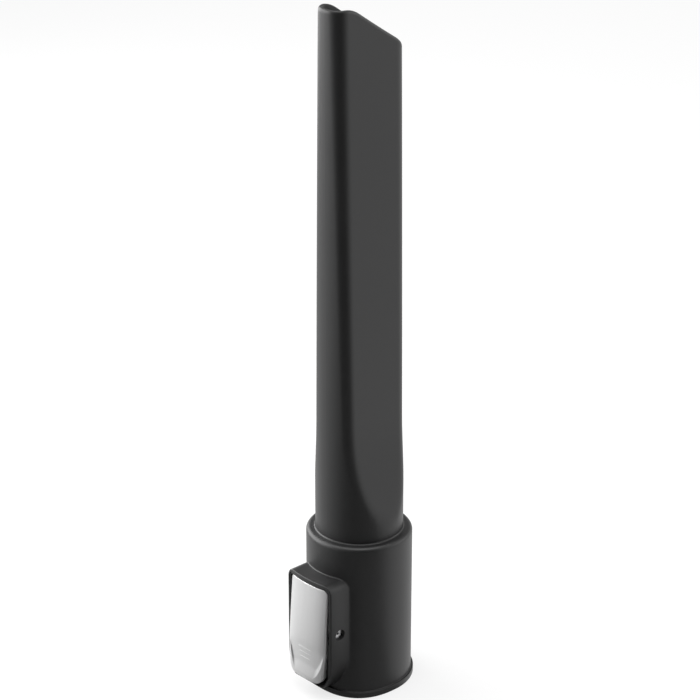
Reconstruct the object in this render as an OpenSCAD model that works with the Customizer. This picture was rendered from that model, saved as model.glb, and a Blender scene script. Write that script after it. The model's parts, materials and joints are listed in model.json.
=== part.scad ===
// Crevice nozzle for a 35 mm suction wand, with a latching socket.
// +Z runs up the nozzle, the latch faces -Y, and the origin is the centre of the socket's mouth.

/* [Nozzle tube] */
// Height from the socket's mouth to the highest point of the tip
overall_h = 273.4; // [220:0.1:340]
// Outside diameter of the round root
root_d = 34.2; // [30:0.1:38]
// Wall of the tube
tube_wall = 2.1; // [1.6:0.1:3]
// Long side of the flattened tip
tip_width = 35.6; // [30:0.1:44]
// Short side of the flattened tip
tip_thick = 13.6; // [11:0.1:20]
// Draft of each flat side, in degrees
flat_draft = 1.06; // [0.3:0.02:1.6]
// Height of bare round tube above the collar
round_h = 7.2; // [4:0.1:20]
// Length over which each flat runs out into the round root
runout_l = 40; // [25:1:70]
// Radius of the soft edge beside each flat, at its lower end
edge_r = 5; // [3.5:0.1:6]
// Radius of the soft edge beside each flat, at the tip
tip_edge_r = 5.5; // [4:0.1:5.5]
// Angle of the slanted mouth, in degrees
mouth_angle = 34.5; // [15:0.5:45]
// Distance from the nozzle's axis to the start of the slant, towards the latch
slant_start = 8.6; // [0:0.1:12]
// Length of the soft bend where the slant starts
slant_bend = 7; // [2:0.5:12]
// Radius of the mouth's rounded rim
rim_r = 0.8; // [0.3:0.1:1]

/* [Socket collar] */
// Outside diameter of the collar
collar_d = 41.4; // [39.6:0.1:48]
// Height of the collar
collar_h = 64.8; // [62:0.1:80]
// Bore that takes the wand
socket_bore = 35.4; // [35.2:0.1:36.4]
// Narrower bore of the socket's inner end, which grips the wand's tip
grip_bore = 35; // [34.6:0.1:35]
// Height at which the socket narrows to that bore
grip_z = 42; // [38:0.1:42]
// Radius of the shoulder's outer edge
shoulder_r = 1.85; // [0.8:0.05:2.4]
// Height of the cove where the shoulder meets the tube
cove_r = 0.7; // [0.4:0.05:1]
// Length of the neck that grips the tube
neck_l = 6.8; // [4:0.1:9]
// Thickness of the tube's seating flange
flange_t = 4; // [2:0.1:6]
// How far the lip stands proud of the collar
lip_proud = 0.9; // [0.4:0.1:1.6]
// Height of the lip
lip_h = 2.4; // [1.6:0.1:4]
// Squareness of the lip's front half, where 2 is round
lip_square = 2.44; // [2:0.02:2.8]
// Height at which the flared skirt has become round
skirt_h = 18; // [12:0.5:22]

/* [Latch housing] */
// Width of the housing
housing_w = 23.8; // [22:0.1:27]
// Height of the housing's flat top
housing_top = 51.2; // [50.4:0.1:54]
// Lowest point of the housing's rounded foot
housing_foot = 1.5; // [0.5:0.1:2]
// Distance from the nozzle's axis to the middle of the bezel, at its top
bezel_front = 27.5; // [27:0.1:28]
// Lean of the bezel, in degrees
bezel_lean = 1.3; // [0:0.1:2]
// Radius of the bezel's curved front, seen from above
bezel_r = 50; // [38:1:90]
// Width of the bezel's rim
rim_w = 1.5; // [1.2:0.1:1.7]
// Depth of the fine step inside the rim
rim_step = 0.4; // [0.2:0.05:0.6]
// Height of the sill below the button
sill_z = 5.3; // [4.8:0.1:5.6]
// Slope of the chin under the sill, in degrees
chin_angle = 42.5; // [36:0.5:48]

/* [Latch] */
// Height of the pivot
pivot_z = 28.9; // [27.5:0.1:30.5]
// Distance from the nozzle's axis to the pivot
pivot_out = 21.5; // [21:0.1:22.5]
// Diameter of the pivot pin
pin_d = 4; // [3:0.1:4.4]
// How far each end of the pin lies below the housing's side
pin_recess = 1.3; // [0.6:0.1:1.4]
// Distance from the nozzle's axis to the front of the button
cap_front = 29.5; // [29:0.1:30.2]
// Lean of the button's upper part, in degrees
cap_lean = 4.4; // [3:0.1:6]
// Radius of the button's curved face, seen from above
cap_r = 61; // [45:1:120]
// Gap round the button
cap_gap = 0.6; // [0.4:0.05:0.9]
// Wall of the button's shell
cap_wall = 1.4; // [1:0.1:1.8]
// Depth of the thumb rest
scoop_depth = 0.8; // [0.3:0.1:1]
// How far the hook reaches into the bore
hook_reach = 1.6; // [1:0.1:2]
// Height of the hook's retaining face
hook_z = 45.9; // [44.5:0.1:46.4]
// Width of the hook
hook_w = 8; // [5:0.1:10]
// Thickness of the spring's wire
wire_d = 0.6; // [0.4:0.05:0.8]

/* [Hidden] */
$fn = 96;
eps = 0.01;
ring_n = 96;

root_r = root_d / 2;
bore_r = socket_bore / 2;
grip_r = grip_bore / 2;
collar_r = collar_d / 2;

// Heights along the tube
ledge_z = collar_h - neck_l;
seat_z = ledge_z - flange_t;
flat_z0 = collar_h + round_h;
flat_z1 = flat_z0 + runout_l;
flange_r = grip_r - 0.1;
neck_r = root_r + 0.05;

// Clearances and small walls
slip = 0.05;
move_gap = 0.3;

function lerp(a, b, t) = a + (b - a) * t;
function arc(cx, cy, r, a0, a1, n) =
    [for (i = [0:n]) let (a = lerp(a0, a1, i / n)) [cx + r * cos(a), cy + r * sin(a)]];

// ---- Nozzle tube ----

// Half thickness between the flats: a straight draft, and below it a curved run-out into the round root
function draft_half(z) = tip_thick / 2 + (overall_h - z) * tan(flat_draft);
function half_thick(z) =
    z <= flat_z0 ? root_r :
    z >= flat_z1 ? draft_half(z) :
    draft_half(z) + (root_r - draft_half(flat_z0)) * pow((flat_z1 - z) / runout_l, 2);

// Share of the way from the top of the run-out to the tip
function up(z) = max(0, (z - flat_z1) / (overall_h - flat_z1));
function end_r(z) = lerp(root_r, tip_width / 2, up(z));
function soft_r(z) = lerp(edge_r, tip_edge_r, up(z));

// Distance from the axis to the section's outline in direction (c, s): flat, soft edge, then round end
function outline_r(a, r, e, c, s) =
    a >= r - eps ? r :
    let (ex = a - e, ey = sqrt(pow(r - e, 2) - ex * ex), dot = c * ex + s * ey)
    s * a <= c * ey ? a / c :
    s * ex <= c * ey ? dot + sqrt(dot * dot - pow(r - e, 2) + e * e) :
    r;
function section_r(z, inset, c, s) =
    outline_r(half_thick(z) - inset, end_r(z) - inset, soft_r(z) - inset, abs(c), abs(s));

// Directions lie closer together round the narrow ends than along the flats
end_crowding = 1.8;
function dir(i) = let (a = 360 * i / ring_n, v = [cos(a), end_crowding * sin(a)]) v / norm(v);
function section(z, inset) =
    [for (i = [0:ring_n - 1]) let (d = dir(i), r = section_r(z, inset, d[0], d[1])) [d[0] * r, d[1] * r, z]];

// The mouth: level on the latch side, then a soft bend into a straight slant
function mouth_z(y) =
    let (t = y + slant_start, b = slant_bend / 2)
    overall_h - tan(mouth_angle) * (t <= -b ? 0 : t >= b ? t : pow(t + b, 2) / (4 * b));
function mouth_ring(inset, drop) =
    [for (i = [0:ring_n - 1])
        let (d = dir(i), y = d[1] * section_r(overall_h, inset, d[0], d[1]), z = mouth_z(y) - drop,
             r = section_r(z, inset, d[0], d[1]))
        [d[0] * r, d[1] * r, z]];
function circle_ring(r, z) = [for (i = [0:ring_n - 1]) let (d = dir(i)) [d[0] * r, d[1] * r, z]];

// A closed ring of skin: each ring of points is joined to the next, and the last to the first
module skin(rings) {
    n = len(rings[0]);
    m = len(rings);
    points = [for (ring = rings) each ring];
    faces = [for (k = [0:m - 1], i = [0:n - 1])
        let (j = (i + 1) % n, low = k * n, high = ((k + 1) % m) * n)
        each [[low + i, high + i, high + j], [low + i, high + j, low + j]]];
    polyhedron(points, faces);
}

runout_steps = 10;
body_steps = 4;
body_z = concat(
    [for (i = [0:runout_steps]) lerp(flat_z0, flat_z1, i / runout_steps)],
    [for (i = [1:body_steps]) lerp(flat_z1, overall_h - tip_width * tan(mouth_angle), i / (body_steps + 1))]);
rim_steps = [for (a = [0:30:90]) [rim_r * (1 - cos(a)), rim_r * (1 - sin(a))]];

module nozzle_tube() {
    color([0.09, 0.09, 0.095])
    skin(concat(
        [circle_ring(flange_r, seat_z), circle_ring(flange_r, ledge_z), circle_ring(root_r, ledge_z)],
        [for (z = body_z) section(z, 0)],
        [for (s = rim_steps) mouth_ring(s[0], s[1])],
        [for (i = [len(rim_steps) - 1:-1:0]) mouth_ring(tube_wall - rim_steps[i][0], rim_steps[i][1])],
        [for (i = [len(body_z) - 1:-1:0]) section(body_z[i], tube_wall)],
        [circle_ring(root_r - tube_wall, seat_z)]));
}

// ---- Socket collar with its latch housing ----

// Distance from the axis to the squared front half of the lip or skirt
function squared_r(r, power, d) =
    d[1] >= 0 ? r : r / pow(pow(abs(d[0]), power) + pow(abs(d[1]), power), 1 / power);
function squared_ring(r, power, z) =
    [for (i = [0:ring_n - 1])
        let (a = 360 * i / ring_n, d = [cos(a), sin(a)], q = squared_r(r, power, d)) [d[0] * q, d[1] * q, z]];
function skirt_power(z) = 2 + (lip_square - 2) * pow((skirt_h - z) / (skirt_h - lip_h), 2);

lip_r = collar_r + lip_proud;
lip_front = lip_r - 0.3;
lip_edge = 0.35;
skirt_steps = 6;
// The skirt's inner edge is buried in the collar's wall, and its top edge sinks into the collar
core_r = collar_r - 1.2;
buried = 0.3;
skirt_end = skirt_h + 0.5;
proud = 0.05;

module lip_and_skirt()
    skin(concat(
        [squared_ring(lip_r - lip_edge, lip_square, 0), squared_ring(lip_r, lip_square, lip_edge),
         squared_ring(lip_r, lip_square, lip_h - lip_edge), squared_ring(lip_r - lip_edge, lip_square, lip_h)],
        [for (i = [0:skirt_steps]) let (z = lerp(lip_h, skirt_h, i / skirt_steps))
            squared_ring(collar_r + proud, skirt_power(z), z)],
        [squared_ring(collar_r - 2 * proud, 2, skirt_end),
         squared_ring(core_r - buried, 2, skirt_end), squared_ring(core_r - buried, 2, 0)]));

// Height of the cone that leads into the narrower bore
lead_in = 0.5;
module barrel()
    rotate_extrude()
    polygon(concat(
        [[bore_r, 0], [core_r, 0], [core_r, skirt_h], [collar_r, skirt_h]],
        arc(collar_r - shoulder_r, collar_h - shoulder_r, shoulder_r, 0, 90, 8),
        arc(neck_r + cove_r, collar_h + cove_r, cove_r, 270, 180, 5),
        [[neck_r, ledge_z], [grip_r, ledge_z], [grip_r, grip_z + lead_in], [bore_r, grip_z]]));

half_w = housing_w / 2;
// Stands an outline drawn in X and Z up, and extrudes it from distance d0 to d1 in front of the axis
module forward(d0, d1)
    translate([0, -d0, 0])
    rotate([90, 0, 0])
    linear_extrude(d1 - d0)
    children();

// Front view of the housing: rounded top corners and a foot that ends in half an ellipse
top_r = 4;
foot_h = 13.5;
module housing_outline(inset) {
    w = half_w - inset;
    z1 = housing_top - inset;
    r = top_r - inset;
    zc = housing_foot + foot_h;
    polygon(concat(
        [for (a = [-180:9:0]) [w * cos(a), zc + (foot_h - inset) * sin(a)]],
        arc(w - r, z1 - r, r, 0, 90, 8), arc(r - w, z1 - r, r, 90, 180, 8)));
}
// Front view of the opening that the button sits in
opening_r = 1.3;
opening_foot_r = 6;
open_w = half_w - rim_w;
module opening_outline() {
    z1 = housing_top - rim_w;
    a = opening_r;
    b = opening_foot_r;
    polygon(concat(
        arc(open_w - b, sill_z + b, b, -90, 0, 8), arc(open_w - a, z1 - a, a, 0, 90, 5),
        arc(a - open_w, z1 - a, a, 90, 180, 5), arc(b - open_w, sill_z + b, b, 180, 270, 8)));
}

// Plan of the housing: a curved front with crisp corners
corner_r = 0.5;
module housing_plan() {
    cx = half_w - corner_r;
    cy = bezel_r - sqrt(pow(bezel_r - corner_r, 2) - cx * cx);
    turn = atan2(cx, bezel_r - cy);
    back_y = bezel_front - bore_r * 0.85;
    polygon(concat(
        [[-half_w, back_y]], arc(-cx, cy, corner_r, 180, 270 - turn, 4),
        arc(0, bezel_r, bezel_r, 270 - turn, 270 + turn, 12), arc(cx, cy, corner_r, 270 + turn, 360, 4),
        [[half_w, back_y]]));
}
// Leans what is drawn from the middle of the bezel's top edge
module lean_front(angle, z)
    translate([0, -bezel_front, z])
    rotate([-angle, 0, 0])
    translate([0, 0, -z - 2])
    children();
// Side view of the housing: below the sill a chin slopes back to the lip
module side_profile() {
    out = bezel_front + 3;
    polygon([
        [0, housing_top + 1], [out, housing_top + 1], [out, (out - lip_front) * tan(chin_angle)],
        [lip_front, 0], [0, 0]]);
}

module housing_block()
    intersection() {
        forward(0, bezel_front + 3) housing_outline(0);
        lean_front(bezel_lean, housing_top) linear_extrude(housing_top + 4) housing_plan();
        rotate([90, 0, -90])
        translate([0, 0, -half_w - 1])
        linear_extrude(housing_w + 2)
        side_profile();
    }

// Hollow of the housing: wide at the bezel, then a thicker wall that holds the pin
step_out = 23;
thick_wall = 2.4;
slot_w = 5.8;
slot_depth = 0.5;
module housing_hollow() {
    forward(step_out, bezel_front + 3) opening_outline();
    intersection() {
        forward(0, step_out + eps) opening_outline();
        translate([thick_wall - half_w, -step_out - 1, 0])
        cube([housing_w - 2 * thick_wall, step_out + 2, housing_top]);
    }
    // slots in the rim beside the lever's hubs
    forward(step_out, bezel_front + 3)
    translate([-open_w - slot_depth, pivot_z - slot_w / 2])
    square([2 * (open_w + slot_depth), slot_w]);
    // fine step inside the rim, above the slots
    difference() {
        forward(step_out, bezel_front + 3)
        intersection() {
            housing_outline(rim_w / 2);
            translate([-half_w, pivot_z])
            square([housing_w, housing_top]);
        }
        lean_front(bezel_lean, housing_top)
        translate([0, bezel_r, 0])
        cylinder(r = bezel_r - rim_step, h = housing_top + 4, $fn = 360);
    }
}

// A cylinder on the pivot's axis, out to the given half length
module pivot_axis(r, half_l)
    translate([-half_l, -pivot_out, pivot_z])
    rotate([0, 90, 0])
    cylinder(r = r, h = 2 * half_l);

pin_r = pin_d / 2;
hub_r = 2.7;
hub_in = 7.1;
hub_half = half_w - thick_wall - move_gap;
counterbore_r = pin_r + 0.2;
counterbore_depth = 0.7;

// Window in the collar's wall for the hook
hook_h = 4;
window_w = hook_w + 1.2;
module hook_window()
    forward(bore_r * 0.8, collar_r + 1)
    translate([-window_w / 2, hook_z - hook_h - 0.7])
    square([window_w, hook_h + 1.8]);

// Spring pocket in the collar's wall
spring_z = 14;
spring_r = 2.6;
pocket_r = spring_r + 0.35;
pocket_out = collar_r - 0.8;

module socket_collar() {
    color([0.09, 0.09, 0.095])
    difference() {
        union() {
            barrel();
            lip_and_skirt();
            difference() {
                housing_block();
                housing_hollow();
                translate([0, 0, -1])
                cylinder(r = core_r, h = housing_top + 2);
            }
        }
        hook_window();
        // relief for the pin across the collar, and for the two hubs
        pivot_axis(pin_r + move_gap, half_w - thick_wall);
        for (side = [-1, 1])
            translate([side * (hub_in + hub_half) / 2, -pivot_out, pivot_z])
            rotate([0, 90, 0])
            cylinder(r = hub_r + move_gap, h = hub_half - hub_in + 2 * move_gap, center = true);
        // pin holes, each with a counterbore outside
        pivot_axis(pin_r, half_w + 1);
        for (side = [-1, 1])
            translate([side * (half_w - counterbore_depth / 2 + 0.5), -pivot_out, pivot_z])
            rotate([0, 90, 0])
            cylinder(r = counterbore_r, h = counterbore_depth + 1, center = true);
        // spring pocket
        translate([0, -pocket_out, spring_z])
        rotate([90, 0, 0])
        cylinder(r = pocket_r, h = 2);
    }
}

// ---- Latch: button cap and lever ----

cap_z0 = sill_z + 2.1;
cap_z1 = housing_top - rim_w - cap_gap;
lean_z = 21;
taper_z = 25;
cap_w = half_w - rim_w - cap_gap;
cap_taper = 1.1;
module cap_outline(inset) {
    r_low = max(3.5 - inset, 0.8);
    r_top = max(1.1 - inset, 0.3);
    w1 = cap_w - inset;
    w0 = w1 - cap_taper;
    z0 = cap_z0 + inset;
    z1 = cap_z1 - inset;
    polygon(concat(
        arc(w0 - r_low, z0 + r_low, r_low, -90, 0, 6), [[w1, taper_z]], arc(w1 - r_top, z1 - r_top, r_top, 0, 90, 5),
        arc(r_top - w1, z1 - r_top, r_top, 90, 180, 5), [[-w1, taper_z]],
        arc(r_low - w0, z0 + r_low, r_low, 180, 270, 6)));
}
// A curved slab behind the button's face, sunk by the given depth and leaning back by an angle
module face_slab(depth, lean)
    translate([0, -cap_front, lean_z])
    rotate([-lean, 0, 0])
    translate([0, cap_r, -60])
    cylinder(r = cap_r - depth, h = 120, $fn = 360);
// Solid of the button's form, sunk by the given depth: an upright foot and a leaning upper part
module button_form(inset, depth)
    intersection() {
        forward(10, cap_front + 1) cap_outline(inset);
        face_slab(depth, 0);
        face_slab(depth + 0.12, cap_lean / 2);
        face_slab(depth, cap_lean);
    }
// Everything that lies further forward than the given depth behind the face
module ahead_of(depth)
    for (lean = [0, cap_lean])
        translate([0, depth - cap_front, lean_z])
        rotate([-lean, 0, 0])
        translate([-half_w, -20, lean > 0 ? -1 : -30])
        cube([housing_w, 20, lean > 0 ? 60 : 31]);

skirt_depth = 3.3;
scoop_z0 = 11;
scoop_floor_z = 15;
scoop_r = 60;
module thumb_scoop()
    intersection() {
        forward(cap_front - 4, cap_front + 2)
        polygon(concat(
            arc(3.6, scoop_z0 + 2.4, 2.4, -90, -20, 5), [[cap_w - 2, taper_z + 4], [2 - cap_w, taper_z + 4]],
            arc(-3.6, scoop_z0 + 2.4, 2.4, 200, 270, 5)));
        translate([-half_w, -cap_front + scoop_depth - scoop_r, scoop_floor_z])
        rotate([0, 90, 0])
        cylinder(r = scoop_r, h = housing_w, $fn = 360);
    }
// Three grip ribs on the floor of the thumb rest, shorter towards the foot
rib_r = 0.5;
rib_pitch = 2.2;
module grip_ribs()
    for (i = [0:2]) {
        z = scoop_floor_z + rib_pitch * (i + 1);
        floor_out = cap_front - scoop_depth + pow(z - scoop_floor_z, 2) / (2 * scoop_r);
        rib_l = 5.2 + 0.8 * i;
        translate([-rib_l / 2, -floor_out + rib_r - 0.25, z])
        rotate([0, 90, 0])
        cylinder(r = rib_r, h = rib_l, $fn = 24);
    }

module button_cap() {
    color([0.72, 0.72, 0.73])
    difference() {
        union() {
            difference() {
                intersection() {
                    button_form(0, 0);
                    ahead_of(skirt_depth);
                }
                thumb_scoop();
            }
            grip_ribs();
        }
        button_form(cap_wall, cap_wall);
    }
}

plate_t = 1.6;
plate_depth = cap_wall + slip;
plate_back = plate_depth + plate_t;
peg_l = 1.5;
web_t = 1.2;
module latch_lever() {
    arm_in = bore_r - hook_reach;
    pivot_face = cap_front - (pivot_z - lean_z) * tan(cap_lean);
    web_front = pivot_face - plate_back + plate_t / 3;
    color([0.07, 0.07, 0.075])
    difference() {
        union() {
            intersection() {
                button_form(cap_wall + slip, plate_depth);
                ahead_of(plate_back);
            }
            // hubs on the pin, and the webs that carry them
            for (side = [-1, 1]) {
                translate([side * (hub_in + hub_half) / 2, -pivot_out, pivot_z])
                rotate([0, 90, 0])
                cylinder(r = hub_r, h = hub_half - hub_in, center = true);
                forward(pivot_out, web_front)
                translate([side > 0 ? hub_in : -hub_in - web_t, pivot_z - hub_r])
                square([web_t, 2 * hub_r]);
            }
            // hook: square on top to hold the wand, sloped below to let it in
            translate([-hook_w / 2, 0, 0])
            rotate([90, 0, 90])
            linear_extrude(hook_w)
            polygon([
                [-arm_in, hook_z], [-cap_front + 4, hook_z], [-cap_front + 4, hook_z - hook_h],
                [-arm_in - 2.4, hook_z - hook_h], [-arm_in, hook_z - 1.4]]);
            // peg that keeps the spring in place
            translate([0, -cap_front + plate_back - 0.2, spring_z])
            rotate([-90, 0, 0])
            cylinder(r = spring_r - wire_d - 0.3, h = peg_l);
        }
        pivot_axis(pin_r + slip, half_w);
    }
}

// ---- Pivot pin and return spring ----

pin_half = half_w - pin_recess;
pin_wall = 0.8;
pin_slot = 0.6;
module pivot_pin() {
    color([0.6, 0.6, 0.62])
    difference() {
        pivot_axis(pin_r, pin_half);
        pivot_axis(pin_r - pin_wall, pin_half + 1);
        translate([-half_w, -pivot_out - pin_slot / 2, pivot_z])
        cube([housing_w, pin_slot, pin_d]);
    }
}

spring_turns = 5;
spring_start = pocket_out;
spring_end = cap_front - plate_back;
wire_sides = 8;
turn_steps = 20;
module return_spring() {
    coil_r = spring_r - wire_d / 2;
    steps = spring_turns * turn_steps;
    travel = spring_end - spring_start - wire_d;
    points = [for (k = [0:steps], j = [0:wire_sides - 1])
        let (a = 360 * k / turn_steps, b = 360 * j / wire_sides,
             r = coil_r + wire_d / 2 * cos(b),
             out = spring_start + wire_d / 2 + travel * k / steps + wire_d / 2 * sin(b))
        [r * cos(a), -out, spring_z + r * sin(a)]];
    sides = [for (k = [0:steps - 1], j = [0:wire_sides - 1])
        let (n = (j + 1) % wire_sides, low = k * wire_sides, high = low + wire_sides)
        each [[low + j, high + n, high + j], [low + j, low + n, high + n]]];
    start = [[for (j = [wire_sides - 1:-1:0]) j]];
    end = [[for (j = [0:wire_sides - 1]) steps * wire_sides + j]];
    color([0.55, 0.55, 0.57])
    polyhedron(points, concat(sides, start, end));
}

nozzle_tube();
socket_collar();
latch_lever();
button_cap();
pivot_pin();
return_spring();
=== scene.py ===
"""Looks of a crevice nozzle with a latching wand socket: its pieces, its finishes and the studio round it.

+Z runs up the nozzle, the latch faces -Y, and the origin is the centre of the socket's mouth.
Settings hold metres, and the helper size() takes their defaults in millimetres.
"""

import json
import math

import bmesh
import bpy
import numpy as np
from bpy.props import FloatProperty, FloatVectorProperty, IntProperty, PointerProperty
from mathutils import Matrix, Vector


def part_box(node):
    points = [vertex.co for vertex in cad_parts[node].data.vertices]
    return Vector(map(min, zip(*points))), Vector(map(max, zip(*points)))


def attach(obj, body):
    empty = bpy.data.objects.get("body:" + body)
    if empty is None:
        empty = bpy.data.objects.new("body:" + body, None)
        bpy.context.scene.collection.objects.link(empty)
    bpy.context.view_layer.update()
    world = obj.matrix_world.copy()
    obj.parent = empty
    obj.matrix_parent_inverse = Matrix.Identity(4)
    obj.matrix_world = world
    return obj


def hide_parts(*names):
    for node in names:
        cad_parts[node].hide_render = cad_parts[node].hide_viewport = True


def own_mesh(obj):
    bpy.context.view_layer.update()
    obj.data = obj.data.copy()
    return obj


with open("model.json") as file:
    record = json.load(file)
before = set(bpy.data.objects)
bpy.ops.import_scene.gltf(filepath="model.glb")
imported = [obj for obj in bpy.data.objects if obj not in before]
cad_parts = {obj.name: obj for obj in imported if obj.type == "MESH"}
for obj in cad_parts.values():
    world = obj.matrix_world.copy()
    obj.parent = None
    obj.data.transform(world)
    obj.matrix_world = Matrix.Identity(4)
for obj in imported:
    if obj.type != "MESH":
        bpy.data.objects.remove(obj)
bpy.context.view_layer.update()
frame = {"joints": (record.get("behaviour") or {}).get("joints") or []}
PIVOT = frame["joints"][0]["pos_m"]

bl_info = {
    "name": "Crevice nozzle",
    "version": (1, 0, 0),
    "blender": (4, 5, 0),
    "location": "3D View > Sidebar > Nozzle",
    "description": "Builds a crevice nozzle with a latching wand socket, and the studio round it",
    "category": "Object",
}

MM = 0.001
WHITE = (1, 1, 1, 1)


# ---- Settings ----


def size(name, description, mm, low=0.0):
    """A length setting, with its default in millimetres and its lowest value in metres."""
    return FloatProperty(
        name=name, description=description, default=mm * MM, min=low, subtype="DISTANCE", unit="LENGTH")


def angle(name, description, degrees):
    """An angle setting, with its default in degrees."""
    return FloatProperty(name=name, description=description, default=math.radians(degrees), subtype="ANGLE")


def share(name, description, value):
    """A share from 0 to 1."""
    return FloatProperty(name=name, description=description, default=value, min=0, max=1, subtype="FACTOR")


def colour(name, description, value):
    """A colour setting, in linear light."""
    return FloatVectorProperty(
        name=name, description=description, default=value, size=3, min=0, max=1, subtype="COLOR")


def number(name, description, value):
    """A whole number of at least 1."""
    return IntProperty(name=name, description=description, default=value, min=1)


class StudioSettings(bpy.types.PropertyGroup):
    """Camera, lamps and floor."""

    azimuth: angle("Azimuth", "Turn of the camera from the latch's side towards +X", 47.163)
    elevation: angle("Elevation", "Height of the camera above level", 23.408)
    distance: size("Distance", "From the camera to the point it looks at", 877.309)
    aim_height: size("Aim height", "Height of the point that the camera looks at", 138.74)
    aim_right: size("Aim right", "How far to the right of the axis the camera looks", -3.59, low=-1)
    lens: FloatProperty(
        name="Lens", description="Focal length for a 36 mm sensor", default=119.7, subtype="DISTANCE_CAMERA")
    floor_radius: size("Floor radius", "Radius of the round floor", 6000)
    floor_white: share("Floor white", "How much the floor's shadow is lightened for the camera", 0.72)
    dark_half: angle("Dark side", "Half angle of the unlit side of the room, behind the camera", 32)
    bright_half: angle("Lit side", "Angle from the camera's side at which the room is fully lit", 68)
    near_shade: share("Near shade", "How much darker the floor in front of the latch is in reflections", 0.58)
    ceiling_from: angle("Ceiling from", "Height above level at which the room's walls start to darken", 4)
    ceiling_to: angle("Ceiling to", "Height above level at which the dark ceiling starts", 30)
    ceiling_shade: share("Ceiling shade", "How much darker the ceiling is in reflections", 0.75)


class TubeSettings(bpy.types.PropertyGroup):
    """Sizes of the nozzle tube."""

    root_diameter: size("Root diameter", "Outside diameter of the round root", 34.2)
    wall: size("Wall", "Wall of the tube", 2.1)
    mouth_wall: size("Mouth wall", "Wall of the tube at its mouth", 1.5)
    tip_width: size("Tip width", "Long side of the flattened tip", 34.4)
    tip_thickness: size("Tip thickness", "Short side of the flattened tip", 13.6)
    draft: angle("Draft", "Lean of each flat side", 1.06)
    round_height: size("Round height", "Height of bare round tube above the collar", 7.2)
    runout: size("Run-out", "Length over which each flat runs out into the round root", 40)
    edge_radius: size("Edge radius", "Radius of the soft edge beside each flat, at its lower end", 5)
    tip_edge: size("Tip edge radius", "Radius of the soft edge beside each flat, at the tip", 5.5)
    mouth_angle: angle("Mouth angle", "Slope of the slanted mouth", 34.5)
    slant_start: size("Slant start", "From the axis to the start of the slant, towards the latch", 9.5)
    slant_bend: size("Slant bend", "Length of the soft bend where the slant starts", 7)
    rim_round: size("Rim round", "Height of the rounding outside the mouth's rim", 1.4)
    rim_inside: size("Rim inside", "Height of the rounding inside the mouth's rim", 0.35)
    flange_radius: size("Flange radius", "Radius of the flange that seats the tube in the collar", 17.4)
    neck: size("Neck", "Length of the collar's neck, which grips the tube above the flange", 6.8)
    points_around: number("Points around", "Points in each ring of the skin", 240)
    outer_rows: number("Outer rows", "Rings up the outer skin", 110)
    rim_rows: number("Rim rows", "Rings over the rim", 14)
    inner_rows: number("Inner rows", "Rings down the inner skin", 60)


class CollarSettings(bpy.types.PropertyGroup):
    """Sizes of the socket collar and its latch housing."""

    radius: size("Radius", "Outside radius of the collar", 20.7)
    cove: size("Cove", "Height of the cove that stands on the shoulder round the tube", 0.7)
    shoulder: size("Shoulder", "Radius of the shoulder's outer edge", 1.85)
    neck_radius: size("Neck radius", "Bore of the neck round the tube", 17.15)
    grip_radius: size("Grip radius", "Bore of the socket's inner end", 17.5)
    grip_height: size("Grip height", "Height at which the socket narrows", 42)
    bore_radius: size("Bore radius", "Radius of the socket's bore", 17.7)
    lip_height: size("Lip height", "Height of the lip round the foot", 2.4)
    lip_round: size("Lip round", "Radius of the lip's edges", 0.22)
    lip_power: FloatProperty(
        name="Lip squareness", description="Squareness of the lip's front half, where 2 is round",
        default=2.44, min=2, max=8, subtype="FACTOR")
    skirt_height: size("Skirt height", "Height at which the flared skirt has become round", 18)
    housing_width: size("Housing width", "Width of the latch housing", 24.8)
    housing_top: size("Housing top", "Height of the housing's flat top", 51.2)
    housing_foot: size("Housing foot", "Lowest point of the housing's rounded foot", 1.5)
    foot_height: size("Foot height", "Height over which the housing's foot rounds off", 16)
    top_corner: size("Top corner", "Radius of the housing's top corners", 4)
    bezel_front: size("Bezel front", "Distance from the axis to the middle of the bezel, at its top", 27.8)
    bezel_lean: angle("Bezel lean", "Lean of the bezel", 0.1)
    bezel_curve: size("Bezel curve", "Radius of the bezel's curved front, seen from above", 50)
    rim: size("Rim", "Width of the bezel's rim", 1.5)
    top_rim: size("Top rim", "Width of the rim above the button", 2.3)
    rim_step: size("Rim step", "Depth of the fine step inside the rim", 0.4)
    sill: size("Sill", "Height of the sill below the button", 5.3)
    chin: angle("Chin", "Slope of the chin under the sill", 42.5)
    edge: size("Front edge", "Radius of the housing's front edges", 0.35)
    root_fillet: size("Root fillet", "Fillet where the housing leaves the collar", 0.55)
    opening_top: size("Opening top corner", "Radius of the opening's top corners", 1.3)
    opening_foot: size("Opening foot corner", "Radius of the opening's foot corners", 6)
    thick_wall: size("Thick wall", "Wall that holds the pin", 2.9)
    thick_from: size("Thick wall front", "Distance from the axis to the front of the thick wall", 23)
    slot_width: size("Slot width", "Height of the slot in the rim beside each hub", 5.8)
    slot_depth: size("Slot depth", "Depth of the slot in the rim beside each hub", 0.5)
    hole_radius: size("Pin hole", "Radius of the pin's holes", 2.0)
    counterbore: size("Counterbore", "Radius of the counterbore outside each hole", 2.2)
    counterbore_depth: size("Counterbore depth", "Depth of the counterbore", 0.7)
    pin_relief: size("Pin relief", "Radius of the groove that clears the pin across the collar", 2.3)
    hub_relief: size("Hub relief", "Radius of the hollow that clears each hub", 3.0)
    window_width: size("Window width", "Width of the hook's window in the collar's wall", 9.2)
    window_foot: size("Window foot", "Height of the window's lower edge", 41.2)
    window_top: size("Window top", "Height of the window's upper edge", 47.0)
    pocket_radius: size("Pocket radius", "Radius of the spring's pocket", 2.95)
    points_around: number("Points around", "Points in each ring of the collar", 256)


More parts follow.
